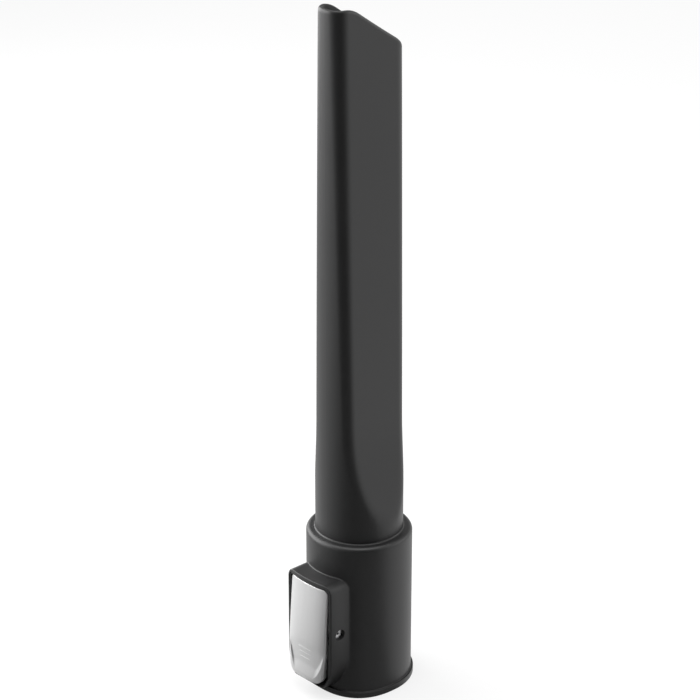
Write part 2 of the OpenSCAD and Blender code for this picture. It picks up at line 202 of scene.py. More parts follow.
class LatchSettings(bpy.types.PropertyGroup):
    """Sizes of the button cap, the lever behind it, the pin and the spring."""

    front: size("Front", "Distance from the axis to the middle of the button's face", 29.5)
    half_width: size("Half width", "Half the button's width", 10.25)
    curve: size("Curve", "Radius of the button's face, seen from above", 61)
    pillow: size("Pillow", "How much further the face falls away at its left and right edges", 0.5)
    lean: angle("Lean", "How far the upper part of the button leans back", 4.1)
    lean_from: size("Lean height", "Height above which the button leans back", 21)
    lean_bend: size("Lean bend", "Half length of the soft bend where the lean starts", 6)
    taper: size("Taper", "How much each side of the button narrows towards its foot", 1.3)
    taper_from: size("Taper height", "Height below which the button narrows", 20)
    top: size("Top", "Height of the button's top edge", 48.8)
    low_corner: size("Foot corner", "Radius of the button's foot corners", 3.5)
    high_corner: size("Top corner", "Radius of the button's top corners", 1.8)
    edge: size("Edge", "Radius of the button's soft side edges", 0.4)
    top_edge: size("Top edge", "Radius of the button's crisp top edge", 0.1)
    edge_change: size("Edge change", "Height over which the side edges become the top edge", 1.5)
    depth: size("Depth", "Depth of the button's sides", 3.3)
    wall: size("Wall", "Wall of the button", 1.4)
    slip: size("Slip", "Play between the button and the lever's plate", 0.05)
    rest_floor: size("Thumb rest depth", "Depth of the thumb rest", 0.8)
    rest_curve: size("Thumb rest curve", "Radius of the thumb rest's floor", 60)
    rest_middle: size("Thumb rest height", "Height of the deepest line of the thumb rest", 15)
    rest_foot: size("Thumb rest foot", "Height of the thumb rest's lower edge", 9.4)
    rest_left: size("Thumb rest left", "Distance from the middle to its left edge, at its foot", 7.0)
    rest_right: size("Thumb rest right", "Distance from the middle to its right edge, at its foot", 7.5)
    rest_corner: size("Thumb rest corner", "Radius of the thumb rest's foot corners", 3)
    rest_spread: share("Thumb rest spread", "How fast the thumb rest widens upwards", 0.22)
    rest_left_wall: angle("Thumb rest left wall", "Slope of the thumb rest's left wall", 46)
    rest_right_wall: angle("Thumb rest right wall", "Slope of the thumb rest's right wall", 26)
    rest_foot_wall: angle("Thumb rest foot wall", "Slope of the thumb rest's foot wall", 10)
    rib_count: number("Grip ribs", "Number of grip ribs in the thumb rest", 3)
    rib_first: size("First rib", "Height of the lowest grip rib", 16.2)
    rib_pitch: size("Rib pitch", "Distance from one grip rib to the next", 2.25)
    rib_length: size("Rib length", "Length of the lowest grip rib", 4.6)
    rib_growth: size("Rib growth", "How much longer each higher rib is", 0.5)
    rib_radius: size("Rib radius", "Half width of the rounded bar that each grip rib is part of", 0.63)
    rib_depth: size("Rib depth", "Half depth of that bar", 0.2)
    rib_proud: size("Rib height", "How far the bar stands proud of the thumb rest", 0.07)
    plate: size("Plate", "Thickness of the lever's plate", 1.6)
    soft: size("Soft edges", "Radius of the lever's soft edges", 0.25)
    hub_radius: size("Hub radius", "Radius of the lever's hubs on the pin", 2.7)
    hub_inner: size("Hub inner face", "Distance from the middle to the inner face of each hub", 7.1)
    hub_outer: size("Hub outer face", "Distance from the middle to the outer face of each hub", 9.2)
    web: size("Web", "Thickness of the web between a hub and the plate", 1.2)
    hook_width: size("Hook width", "Width of the hook and its arm", 8)
    hook_top: size("Hook top", "Height of the hook's flat top", 45.9)
    hook_height: size("Hook height", "Height of the hook's arm", 4)
    peg_radius: size("Peg radius", "Radius of the peg inside the spring", 1.4)
    pin_radius: size("Pin radius", "Radius of the pivot pin", 2)
    pin_proud: size("Pin end", "How much further each end of the pin reaches than a plain one", 0.4)
    pin_wall: size("Pin wall", "Wall of the pin, which is rolled from a strip", 1.5)
    pin_slot: size("Pin slot", "Width of the slot along the pin", 0.3)
    spring_height: size("Spring height", "Height of the spring's axis", 14)
    spring_radius: size("Spring radius", "Outside radius of the spring", 2.6)
    wire: size("Wire", "Diameter of the spring's wire", 0.6)
    turns: number("Turns", "Turns of the spring", 5)
    pressed: share("Pressed", "Share of the spring's length that is left when the button is pressed", 0.6)
    cell: size("Cell", "Spacing of the points on the button and the lever", 0.165)


class FinishSettings(bpy.types.PropertyGroup):
    """Colours and gloss of the finishes."""

    plastic: colour("Black plastic", "Base colour of the tube and the collar", (0.0125, 0.0125, 0.0128))
    plastic_rough: share("Plastic roughness", "Roughness of the moulded plastic", 0.42)
    silver: colour("Silver", "Base colour of the button", (0.76, 0.76, 0.76))
    silver_rough: share("Silver roughness", "Roughness of the button's paint", 0.36)
    lever: colour("Lever plastic", "Base colour of the lever", (0.009, 0.009, 0.0095))
    lever_rough: share("Lever roughness", "Roughness of the lever", 0.5)
    steel: colour("Steel", "Base colour of the pin and the spring", (0.75, 0.75, 0.76))
    steel_rough: share("Steel roughness", "Roughness of the pin and the spring", 0.38)


# ---- Nodes ----


def math_method(operation, reflected=False):
    """A method of Signal that adds one Math node, with its two values swapped in a reflected form."""

    def method(self, other):
        return self.graph.math(operation, *((other, self) if reflected else (self, other)))

    return method


class Signal:
    """A socket of a node tree, with arithmetic that adds Math nodes to the tree."""

    def __init__(self, graph, socket):
        self.graph = graph
        self.socket = socket

    __add__, __radd__ = math_method("ADD"), math_method("ADD", True)
    __sub__, __rsub__ = math_method("SUBTRACT"), math_method("SUBTRACT", True)
    __mul__, __rmul__ = math_method("MULTIPLY"), math_method("MULTIPLY", True)
    __truediv__, __rtruediv__ = math_method("DIVIDE"), math_method("DIVIDE", True)
    __pow__, __lt__, __gt__ = (math_method(name) for name in ("POWER", "LESS_THAN", "GREATER_THAN"))


class Graph:
    """Adds nodes to one tree, for a material, a world or a geometry tree."""

    def __init__(self, tree):
        self.tree = tree

    def node(self, kind, inputs=None, **settings):
        """Adds a node: its settings are set first, then its sockets get values or links.

        A node that is given for a socket stands for its first output.
        """
        node = self.tree.nodes.new(kind)
        for name, value in settings.items():
            setattr(node, name, value)
        for name, value in (inputs or {}).items():
            if isinstance(value, bpy.types.Node):
                value = self.out(value)
            if isinstance(value, Signal):
                self.tree.links.new(value.socket, node.inputs[name])
            else:
                node.inputs[name].default_value = value
        return node

    def out(self, node, name=0):
        """One output of a node as a Signal."""
        return Signal(self, node.outputs[name])

    def math(self, operation, *values, clamp=False):
        """A Math node with its values."""
        inputs = dict(enumerate(values))
        return self.out(self.node("ShaderNodeMath", inputs, operation=operation, use_clamp=clamp))

    def high(self, a, b):
        """The greater of two values."""
        return self.math("MAXIMUM", a, b)

    def clip(self, a):
        """A value held between 0 and 1."""
        return self.math("ADD", a, 0, clamp=True)

    def root(self, a):
        """The square root of a value, or 0 below 0."""
        return self.math("SQRT", self.high(a, 0))

    def ramp(self, a, start, end):
        """A smooth rise from 0 at start to 1 at end."""
        inputs = {"Value": a, "From Min": start, "From Max": end}
        return self.out(self.node("ShaderNodeMapRange", inputs, interpolation_type="SMOOTHSTEP"), "Result")

    def parts(self, vector):
        """The X, Y and Z of a vector."""
        node = self.node("ShaderNodeSeparateXYZ", {"Vector": vector})
        return [self.out(node, axis) for axis in "XYZ"]

    def place(self, kind="Object"):
        """Coordinates of one kind, as a vector."""
        return self.out(self.node("ShaderNodeTexCoord"), kind)

    def stretch(self, vector, scale):
        """A vector multiplied along each axis."""
        return self.out(self.node("ShaderNodeVectorMath", {0: vector, 1: scale}, operation="MULTIPLY"))

    def noise(self, vector, scale, detail=2.0, rough=0.5):
        """Soft noise from 0 to 1."""
        inputs = {"Vector": vector, "Scale": scale, "Detail": detail, "Roughness": rough}
        return self.out(self.node("ShaderNodeTexNoise", inputs), "Fac")

    def tint(self, factor, first, second):
        """A colour mixed from two colours."""
        mix = self.node("ShaderNodeMix", {0: factor}, data_type="RGBA")
        for socket, value in zip([s for s in mix.inputs if s.type == "RGBA"], (first, second)):
            socket.default_value = (*value, 1)
        return Signal(self, next(s for s in mix.outputs if s.type == "RGBA"))

    def bump(self, height, distance, strength):
        """A normal bent by a height of 0 to 1 that stands for the given distance."""
        inputs = {"Height": height, "Distance": distance, "Strength": strength}
        return self.out(self.node("ShaderNodeBump", inputs))


class ShapeGraph(Graph):
    """A geometry tree with named inputs, run once and turned into a plain mesh."""

    def __init__(self, name):
        super().__init__(bpy.data.node_groups.new(name, "GeometryNodeTree"))
        self.tree.interface.new_socket("Geometry", in_out="OUTPUT", socket_type="NodeSocketGeometry")
        self.entry = self.tree.nodes.new("NodeGroupInput")
        self.values = {}

    def ask(self, name, value):
        """A named input of the tree with its value: a whole number or a length."""
        kind = "NodeSocketInt" if isinstance(value, int) else "NodeSocketFloat"
        item = self.tree.interface.new_socket(name, in_out="INPUT", socket_type=kind)
        self.values[item.identifier] = value
        return Signal(self, self.entry.outputs[name])

    def read(self, settings, *names):
        """Named inputs of the tree, each with the title and the value of one setting."""
        titles = settings.bl_rna.properties
        return [self.ask(titles[name].name, getattr(settings, name)) for name in names]

    def switch(self, test, no, yes):
        """One of two values, by a test of 0 or 1."""
        return no + (yes - no) * test

    def vector(self, x, y, z):
        """A vector from its X, Y and Z."""
        return self.out(self.node("ShaderNodeCombineXYZ", {"X": x, "Y": y, "Z": z}))

    def bake(self, geometry, material):
        """Ends the tree, runs it, and returns its result as a plain piece with the tree's name."""
        real = self.node("GeometryNodeRealizeInstances", {"Geometry": geometry})
        painted = self.node("GeometryNodeSetMaterial", {"Geometry": real, "Material": material})
        self.node("NodeGroupOutput", {"Geometry": painted})
        piece = plain_mesh(self.tree.name, [], [])
        modifier = piece.modifiers.new("shape", "NODES")
        modifier.node_group = self.tree
        for identifier, value in self.values.items():
            modifier[identifier] = value
        graph = bpy.context.evaluated_depsgraph_get()
        piece.data = bpy.data.meshes.new_from_object(piece.evaluated_get(graph))
        piece.data.name = self.tree.name
        piece.modifiers.clear()
        smooth_shade(piece)
        return piece


def new_material(name):
    """An empty material, and the Graph of its tree."""
    material = bpy.data.materials.new(name)
    material.use_nodes = True
    material.node_tree.nodes.clear()
    return material, Graph(material.node_tree)


# ---- Finishes ----


def varnish(g, base, mottle, dark, light, inputs):
    """Ends a material. Its mottle of 0 to 1 mixes a darker and a lighter shade of the base colour."""
    shades = [tuple(min(1, c * shade) for c in base) for shade in (dark, light)]
    shader = g.node("ShaderNodeBsdfPrincipled", {"Base Color": g.tint(mottle, *shades), **inputs})
    g.node("ShaderNodeOutputMaterial", {"Surface": shader})


def moulded_plastic(name, base, rough):
    """Black plastic from a textured mould: a fine grain, slow waves in the gloss and a parting line."""
    material, g = new_material(name)
    place = g.place()
    x, y = g.parts(place)[:2]
    grain = g.noise(place, scale=2600, detail=3, rough=0.6)
    flow = g.noise(g.stretch(place, (1, 1, 0.12)), scale=140)
    cloud = g.noise(place, scale=60)
    parting_line = g.ramp(g.math("ABSOLUTE", x), start=0.25 * MM, end=0.05 * MM) * (y < 0)
    varnish(g, base, cloud, dark=0.88, light=1.12, inputs={
        "Roughness": g.clip(rough - 0.04 + cloud * 0.05 + grain * 0.03),
        "IOR": 1.5,
        "Normal": g.bump(grain * 0.55 + flow * 0.3 + parting_line * 0.9, distance=0.02 * MM, strength=0.6),
    })
    return material


def silver_paint(name, base, rough):
    """Satin silver paint: a fine metal flake and faint drawn streaks down the button."""
    material, g = new_material(name)
    place = g.place()
    flake = g.noise(place, scale=5200, rough=0.6)
    streak = g.noise(g.stretch(place, (1, 1, 0.04)), scale=900, detail=3, rough=0.6)
    cloud = g.noise(place, scale=90)
    varnish(g, base, g.clip(flake * 0.5 + streak * 0.5), dark=0.93, light=1.05, inputs={
        "Metallic": 0.9,
        "Roughness": g.clip(rough - 0.05 + streak * 0.06 + cloud * 0.04),
        "Normal": g.bump(flake * 0.4 + streak * 0.6, distance=0.008 * MM, strength=0.5),
    })
    return material


def drawn_steel(name, base, rough):
    """Plated steel with fine marks round its axis."""
    material, g = new_material(name)
    mark = g.noise(g.stretch(g.place(), (6, 1, 1)), scale=1800, detail=3, rough=0.6)
    varnish(g, base, mark, dark=0.85, light=1.06, inputs={
        "Metallic": 1.0,
        "Roughness": g.clip(rough + mark * 0.12),
        "Normal": g.bump(mark, distance=0.006 * MM, strength=0.5),
    })
    return material


# ---- Studio ----


# Reach and level of the pale floor round the nozzle's foot, and the level of the dark side of the room
POOL, POOL_LEVEL, DARKEST = (0.35, 0.06), 0.3, 0.05

# The shaded floor in front of the latch: its far end, its near end, and its angles from the camera's side
SHADE_END, SHADE_START, SHADE_TURN = (0.3, 0.18), (0.02, 0.06), (math.radians(112), math.radians(58))

# Angles from the camera's side over which the ceiling turns dark
CEILING_TURN = math.radians(105), math.radians(150)

# Name, power in watts, width, height, turn from the camera in degrees, distance and height above the floor
LAMPS = (
    ("left_lamp", 7.5, 0.9, 0.6, -116, 0.62, 0.38),
    ("right_lamp", 2, 0.9, 0.6, 100, 1.2, 0.5),
    ("top_lamp", 14, 1.2, 1.2, 0, 0.25, 1.6),
)


def room_turn(g, x, y, studio):
    """Distance of (x, y) from the nozzle, and its angle away from the camera's side."""
    front, least_reach = (math.sin(studio.azimuth), -math.cos(studio.azimuth)), 1e-6
    reach = g.high(g.root(x * x + y * y), least_reach)
    return reach, g.math("ARCCOSINE", g.clip((x * front[0] + y * front[1]) / reach * 0.5 + 0.5) * 2 - 1)


def room_level(g, x, y, studio):
    """How light the room is in direction (x, y): dark on the camera's side and white elsewhere."""
    reach, turn = room_turn(g, x, y, studio)
    wall = g.ramp(turn, studio.dark_half, studio.bright_half) * (1 - DARKEST) + DARKEST
    level = g.high(wall, g.ramp(reach, *POOL) * POOL_LEVEL)
    left = (x * math.cos(studio.azimuth) + y * math.sin(studio.azimuth)) < 0
    ring = g.ramp(reach, *SHADE_END) * (g.ramp(reach, *SHADE_START) * 0.5 + 0.5)
    shade = ring * g.ramp(turn, *SHADE_TURN) * left
    return level * (1 - shade * studio.near_shade)


def ray_kinds(g):
    """Whether a ray comes from the camera or through clear material, and whether it is a reflection."""
    path = g.node("ShaderNodeLightPath")
    direct = g.high(g.out(path, "Is Camera Ray"), g.out(path, "Is Transmission Ray"))
    return direct, g.out(path, "Is Glossy Ray")


def pale_floor(studio):
    """White floor that keeps the object's shadow."""
    material, g = new_material("pale_floor")
    x, y = g.parts(g.place())[:2]
    direct, glossy = ray_kinds(g)
    matte = g.node("ShaderNodeBsdfDiffuse", {"Color": (0.8, 0.8, 0.8, 1)})
    seen = g.node("ShaderNodeEmission", {"Color": WHITE, "Strength": 1.0})
    mirrored = g.node("ShaderNodeEmission", {"Color": WHITE, "Strength": room_level(g, x, y, studio)})
    by_camera = g.node("ShaderNodeMixShader", {0: direct * studio.floor_white, 1: matte, 2: seen})
    by_gloss = g.node("ShaderNodeMixShader", {0: glossy, 1: by_camera, 2: mirrored})
    g.node("ShaderNodeOutputMaterial", {"Surface": by_gloss})
    return material


def make_room(studio):
    """World: white where the camera sees it, and the unlit side dark in reflections and in its light."""
    world = bpy.data.worlds.new("room")
    bpy.context.scene.world = world
    world.use_nodes = True
    world.node_tree.nodes.clear()
    g = Graph(world.node_tree)
    x, y, z = g.parts(g.place("Generated"))
    direct, glossy = ray_kinds(g)
    behind = g.ramp(room_turn(g, x, y, studio)[1], *CEILING_TURN)
    ceiling = g.ramp(z, math.sin(studio.ceiling_from), math.sin(studio.ceiling_to)) * behind * glossy
    level = g.high(room_level(g, x, y, studio) * (1 - ceiling * studio.ceiling_shade), direct)
    background = g.node("ShaderNodeBackground", {"Color": WHITE, "Strength": level})
    g.node("ShaderNodeOutputWorld", {"Surface": background})


def add_object(name, data):
    """A new object with its data, in the scene."""
    item = bpy.data.objects.new(name, data)
    bpy.context.scene.collection.objects.link(item)
    return item


def make_lamp(name, power, width, height, place, aim):
    """A soft rectangular lamp that faces a point."""
    data = bpy.data.lights.new(name, "AREA")
    data.shape = "RECTANGLE"
    data.energy = power
    data.size = width
    data.size_y = height
    lamp = add_object(name, data)
    lamp.location = place
    lamp.visible_camera = False
    lamp.rotation_euler = (Vector(aim) - Vector(place)).to_track_quat("-Z", "Y").to_euler()


def around(azimuth, distance, height):
    """A point at an azimuth from the latch's side towards +X."""
    return (distance * math.sin(azimuth), -distance * math.cos(azimuth), height)


def make_camera(studio):
    """The camera, which looks at a point beside the axis."""
    a, e = studio.azimuth, studio.elevation
    back = Vector((math.sin(a) * math.cos(e), -math.cos(a) * math.cos(e), math.sin(e)))
    right = Vector((math.cos(a), math.sin(a), 0))
    data = bpy.data.cameras.new("camera")
    data.sensor_width = 36
    data.lens = studio.lens
    data.clip_start = 0.01
    camera = add_object("camera", data)
    camera.location = Vector((0, 0, studio.aim_height)) + right * studio.aim_right + back * studio.distance
    camera.rotation_euler = (-back).to_track_quat("-Z", "Y").to_euler()
    bpy.context.scene.camera = camera


def plain_mesh(name, vertices, faces):
    """A new mesh object from lists of points and faces."""
    mesh = bpy.data.meshes.new(name)
    mesh.from_pydata([tuple(v) for v in vertices], [], [tuple(f) for f in faces])
    mesh.update()
    return add_object(name, mesh)


class NOZZLE_OT_studio(bpy.types.Operator):
    """Builds the floor, the room, the lamps and the camera"""

    bl_idname = "nozzle.studio"
    bl_label = "Studio"

    def execute(self, context):
        studio = context.scene.nozzle_studio
        rim = [around(a, studio.floor_radius, 0) for a in full_turn(64)]
        floor = plain_mesh("floor", rim[::-1], [range(len(rim))])
        if floor.data.polygons[0].normal.z < 0:
            floor.data.flip_normals()
        floor.data.materials.append(pale_floor(studio))
        make_room(studio)
        aim = (0, 0, studio.aim_height)
        for name, power, width, height, turn, distance, up in LAMPS:
            place = around(studio.azimuth + math.radians(turn), distance, up)
            make_lamp(name, power, width, height, place, aim)
        make_camera(studio)
        context.scene.view_settings.view_transform = "Standard"
        return {"FINISHED"}


# ---- Making meshes ----


def dress(piece, material):
    """Gives a piece one material."""
    piece.data.materials.clear()
    piece.data.materials.append(material)


def smooth_shade(piece, limit=math.radians(35)):
    """Closes doubled points, turns the faces outwards, and shades smooth up to the given angle."""
    work = bmesh.new()
    work.from_mesh(piece.data)
    bmesh.ops.remove_doubles(work, verts=work.verts, dist=1e-7)
    bmesh.ops.recalc_face_normals(work, faces=work.faces)
    if work.calc_volume(signed=True) < 0:
        bmesh.ops.reverse_faces(work, faces=work.faces)
    for face in work.faces:
        face.smooth = True
    for edge in work.edges:
        edge.smooth = len(edge.link_faces) == 2 and edge.calc_face_angle(0) < limit
    work.to_mesh(piece.data)
    work.free()
    piece.data.update()


def bands(rings, steps, closed):
    """Faces between each ring of points and the next, and from the last ring to the first if closed."""
    first = np.arange(steps)
    second = (first + 1) % steps
    faces = []
    for k in range(rings if closed else rings - 1):
        low, high = k * steps, (k + 1) % rings * steps
        faces += np.stack([low + first, low + second, high + second, high + first], 1).tolist()
    return faces


def ring_skin(name, rings):
    """A closed skin through closed rings of points, each joined to the next and the last to the first."""
    rings = np.array(rings)
    piece = plain_mesh(name, rings.reshape(-1, 3), bands(*rings.shape[:2], closed=True))
    smooth_shade(piece)
    return piece


def arc(centre_a, centre_b, radius, start, end, steps):
    """Points of an arc in a plane, from a start to an end angle in degrees."""
    turn = np.radians(np.linspace(start, end, steps + 1))
    return np.stack([centre_a + radius * np.cos(turn), centre_b + radius * np.sin(turn)], 1)


def spread(path, count):
    """count points at even steps along a path, with its end left out."""
    path = np.array(path, float)
    run = np.concatenate([[0], np.cumsum(np.linalg.norm(np.diff(path, axis=0), axis=1))])
    marks = np.linspace(0, run[-1], count, endpoint=False)
    return np.stack([np.interp(marks, run, path[:, k]) for k in range(path.shape[1])], 1)


# Points round a turned solid
TOOL_STEPS = 64

# For a solid turned round each axis, which coordinates of one turned round Z become its X, Y and Z
TURNED_AXES = {"X": [2, 0, 1], "Y": [1, 2, 0], "Z": [0, 1, 2]}


def full_turn(count):
    """The angles of a ring of count points."""
    return np.linspace(0, 2 * math.pi, count, endpoint=False)


def turned(profile, turn, axis="Z"):
    """Rings of points round an axis, one for each radius and height of a profile."""
    rings = [np.stack([r * np.cos(turn), r * np.sin(turn), np.full(len(turn), h)], 1) for r, h in profile]
    return np.array(rings)[..., TURNED_AXES[axis]]


def lathe(name, profile, centre, axis):
    """A solid turned from a profile of radius and height that starts and ends on its axis."""
    rings = turned(profile[1:-1], full_turn(TOOL_STEPS), axis)
    poles = turned((profile[0], profile[-1]), np.zeros(1), axis)
    points = np.concatenate([rings.reshape(-1, 3), poles.reshape(-1, 3)]) + np.array(centre)
    low_pole, high_pole, last = len(points) - 2, len(points) - 1, (len(rings) - 1) * TOOL_STEPS
    pairs = [(k, (k + 1) % TOOL_STEPS) for k in range(TOOL_STEPS)]
    faces = [(low_pole, b, a) for a, b in pairs]
    faces += bands(len(rings), TOOL_STEPS, closed=False)
    faces += [(high_pole, last + a, last + b) for a, b in pairs]
    piece = plain_mesh(name, points, faces)
    smooth_shade(piece)
    return piece


def rod(radius, low, high):
    """Profile of a plain rod between two places on its axis."""
    return [(0, low), (radius, low), (radius, high), (0, high)]


def box(name, low, high):
    """A block between two corners."""
    corners = [(x, y, z) for x in (low[0], high[0]) for y in (low[1], high[1]) for z in (low[2], high[2])]
    sides = [(0, 1, 3, 2), (4, 6, 7, 5), (0, 4, 5, 1), (2, 3, 7, 6), (0, 2, 6, 4), (1, 5, 7, 3)]
    return plain_mesh(name, corners, sides)


def carve(piece, tool, operation="DIFFERENCE"):
    """Cuts a tool out of a piece, or joins it on, and removes the tool."""
    change = piece.modifiers.new("carve", "BOOLEAN")
    change.operation = operation
    change.solver = "MANIFOLD"
    change.object = tool
    graph = bpy.context.evaluated_depsgraph_get()
    mesh = bpy.data.meshes.new_from_object(piece.evaluated_get(graph))
    piece.modifiers.clear()
    piece.data = mesh
    bpy.data.objects.remove(tool)


def soft_max(a, b, radius):
    """The greater of two distances, with the edge between their surfaces rounded to a radius."""
    corner = np.hypot(np.maximum(a + radius, 0), np.maximum(b + radius, 0)) - radius
    return np.where((a > -radius) & (b > -radius), corner, np.maximum(a, b))


def soft_min(a, b, radius):
    """The lower of two distances, with the corner between their surfaces filled to a radius."""
    return -soft_max(-a, -b, radius)


def blend_min(a, b, width):
    """The lower of two lengths, with a rounded change of the given width."""
    blend = np.clip(0.5 + (b - a) / (2 * width), 0, 1)
    return b + (a - b) * blend - width * blend * (1 - blend)


# Rounds that move a field's points onto its surface, and the least squared slope that they divide by
SETTLING_ROUNDS, LEAST_SLOPE = 3, 0.3


def field_slope(distance, points, nudge):
    """How much a distance field grows from just before to just after each point, along each axis."""
    return np.stack([distance(points + d) - distance(points - d) for d in np.eye(3) * nudge], 1)


def field_skin(name, distance, low, high, cell):
    """A closed skin over the zero level of a distance field, with a point in each cell it crosses."""
    low = np.array(low) - 2 * cell
    counts = np.ceil((np.array(high) - low) / cell).astype(int) + 2
    value = distance(low + cell * np.stack(np.indices(counts), -1))
    inside = value < 0
    corners = [(i, j, k) for i in (0, 1) for j in (0, 1) for k in (0, 1)]
    n = counts - 1
    filled = sum(inside[i:i + n[0], j:j + n[1], k:k + n[2]].astype(int) for i, j, k in corners)
    mixed = (filled > 0) & (filled < 8)
    cells = np.argwhere(mixed)
    index = np.full(n, -1)
    index[mixed] = np.arange(len(cells))

    total, crossings = np.zeros((len(cells), 3)), np.zeros(len(cells))
    for start in corners:
        for axis in range(3):
            if start[axis]:
                continue
            end = np.array(start)
            end[axis] = 1
            a, b = value[tuple((cells + start).T)], value[tuple((cells + end).T)]
            crossed = (a < 0) != (b < 0)
            point = (cells + start).astype(float)
            point[:, axis] += np.where(crossed, a / np.where(crossed, a - b, 1), 0)
            total += point * crossed[:, None]
            crossings += crossed
    points = low + cell * total / crossings[:, None]
    nudge = 0.05 * cell
    for _ in range(SETTLING_ROUNDS):
        slope = field_slope(distance, points, nudge) / (2 * nudge)
        points -= distance(points)[:, None] * slope / np.maximum((slope**2).sum(1), LEAST_SLOPE)[:, None]

    faces = []
    shift = np.eye(3, dtype=int)
    for axis in range(3):
        u, v = (axis + 1) % 3, (axis + 2) % 3
        near = np.moveaxis(inside, axis, 0)
        starts = np.argwhere(near[:-1] != near[1:])
        starts = starts[(starts[:, 1] > 0) & (starts[:, 2] > 0)]
        edge = np.zeros_like(starts)
        edge[:, [axis] + [k for k in range(3) if k != axis]] = starts
        beside = [edge - a * shift[u] - b * shift[v] for a, b in ((1, 1), (0, 1), (0, 0), (1, 0))]
        quad = np.stack([index[tuple(corner.T)] for corner in beside], 1)
        leaving = inside[tuple(edge.T)]
        faces += [quad[leaving], quad[~leaving][:, ::-1]]
    piece = plain_mesh(name, points, np.concatenate(faces).tolist())
    normals = field_slope(distance, points, nudge)
    normals /= np.linalg.norm(normals, axis=1)[:, None]
    piece.data.shade_smooth()
    piece.data.normals_split_custom_set_from_vertices(normals.tolist())
    return piece


# ---- Nozzle tube ----

# How closely points crowd towards the tube's round ends, and rows towards its mouth, outside and inside
END_CROWDING, CLIMB_CROWDING, SINK_CROWDING = 1.8, 1.5, 1.8

# Share of the inner rows over which the wall grows from the mouth's wall to the full wall
WALL_CHANGE = 0.15

def tube_section(g, z, inset, c, s, sizes):
    """Distance from the axis to the tube's skin at height z, in direction (c, s), sunk by an inset.

    Each side is flat with a straight draft and runs out below into the round root. Between a flat and the
    round end lies a soft edge, an arc of its own radius.
    """
    root, tip, thick, draft, flat_low, flat_high, top, edge, tip_edge = sizes
    least_cosine, almost = 1e-4, 0.01 * MM
    lean = g.math("TANGENT", draft)
    runout = g.clip((flat_high - z) / (flat_high - flat_low))
    sag = root - thick / 2 - (top - flat_low) * lean
    half = thick / 2 + (top - z) * lean + sag * runout * runout - inset
    up = g.clip((z - flat_high) / (top - flat_high))
    end = root + (tip / 2 - root) * up - inset
    soft = edge + (tip_edge - edge) * up - inset
    core = end - soft
    ex = half - soft
    ey = g.root(core * core - ex * ex)
    dot = c * ex + s * ey
    on_flat = half / g.high(c, least_cosine)
    on_soft = dot + g.root(dot * dot - core * core + soft * soft)
    beside = g.switch(s * ex > c * ey, on_soft, end)
    outline = g.switch(s * half > c * ey, on_flat, beside)
    return g.switch(half > end - almost, outline, end)


def mouth_height(g, y, top, mouth_angle, start, bend):
    """Height of the mouth's edge: level on the latch side, then a soft bend into a straight slant."""
    past = y + start + bend / 2
    bent = g.clip(past / bend) * bend
    fall = bent * bent / (bend * 2) + g.high(past - bend, 0)
    return top - fall * g.math("TANGENT", mouth_angle)


def nozzle_tube(tube, collar, material):
    """The tube as one skin that runs up outside, over the rim and down inside, back to the flange's foot."""
    low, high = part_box("nozzle_tube")
    collar_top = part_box("socket_collar")[1].z - collar.cove
    g = ShapeGraph("nozzle_tube_skin")
    steps = g.ask("Points around", tube.points_around)
    outer_rows, rim_rows, inner_rows = g.read(tube, "outer_rows", "rim_rows", "inner_rows")
    tip, thick, draft, wall = g.read(tube, "tip_width", "tip_thickness", "draft", "wall")
    mouth_wall, rim, rim_inside = g.read(tube, "mouth_wall", "rim_round", "rim_inside")
    edge, tip_edge, flange = g.read(tube, "edge_radius", "tip_edge", "flange_radius")
    slant = g.read(tube, "mouth_angle", "slant_start", "slant_bend")
    root = g.ask("Root radius", tube.root_diameter / 2)
    top = g.ask("Height", high.z)
    flat_low = g.ask("Foot of the run-out", collar_top + tube.round_height)
    flat_high = g.ask("Top of the run-out", collar_top + tube.round_height + tube.runout)
    seat = g.ask("Flange foot", low.z)
    ledge = g.ask("Flange top", collar_top - tube.neck)

    rows = outer_rows + rim_rows + inner_rows + 4
    cells = {"Size X": 1, "Size Y": 1, "Vertices X": steps + 1, "Vertices Y": rows}
    grid = g.node("GeometryNodeMeshGrid", cells)
    u, v = g.parts(g.node("GeometryNodeInputPosition"))[:2]
    row = g.math("ROUND", (v + 0.5) * (rows - 1))
    climb = 1 - (1 - g.clip((row - 2) / outer_rows)) ** CLIMB_CROWDING
    over = g.clip((row - 2 - outer_rows) / rim_rows)
    sink = g.clip((row - 2 - outer_rows - rim_rows) / inner_rows) ** SINK_CROWDING

    turn = (u + 0.5) * (2 * math.pi)
    wide, long = g.math("COSINE", turn), g.math("SINE", turn) * END_CROWDING
    reach = g.root(wide * wide + long * long)
    c, s = wide / reach, long / reach
    side, end = g.math("ABSOLUTE", c), g.math("ABSOLUTE", s)
    sizes = (root, tip, thick, draft, flat_low, flat_high, top, edge, tip_edge)

    wall_here = mouth_wall + (wall - mouth_wall) * g.clip(sink / WALL_CHANGE)
    inset = wall_here * (1 - g.math("COSINE", over * math.pi)) / 2
    drop = g.switch(over > 0.5, rim, rim_inside) * (1 - g.math("SINE", over * math.pi))
    tip_y = s * tube_section(g, top, inset, side, end, sizes)
    mouth = mouth_height(g, tip_y, top, *slant) - drop
    foot = g.switch(sink > 0, ledge, seat)
    z = foot + (mouth - foot) * (climb - sink)
    radius = tube_section(g, z, inset, side, end, sizes)
    on_flange = g.high(row < 1.5, row > rows - 1.5)
    radius = g.switch(on_flange, radius, flange)
    z = g.switch(g.high(row < 0.5, row > rows - 1.5), z, seat)
    place = g.vector(c * radius, s * radius, z)
    return g.bake(g.node("GeometryNodeSetPosition", {"Geometry": grid, "Position": place}), material)


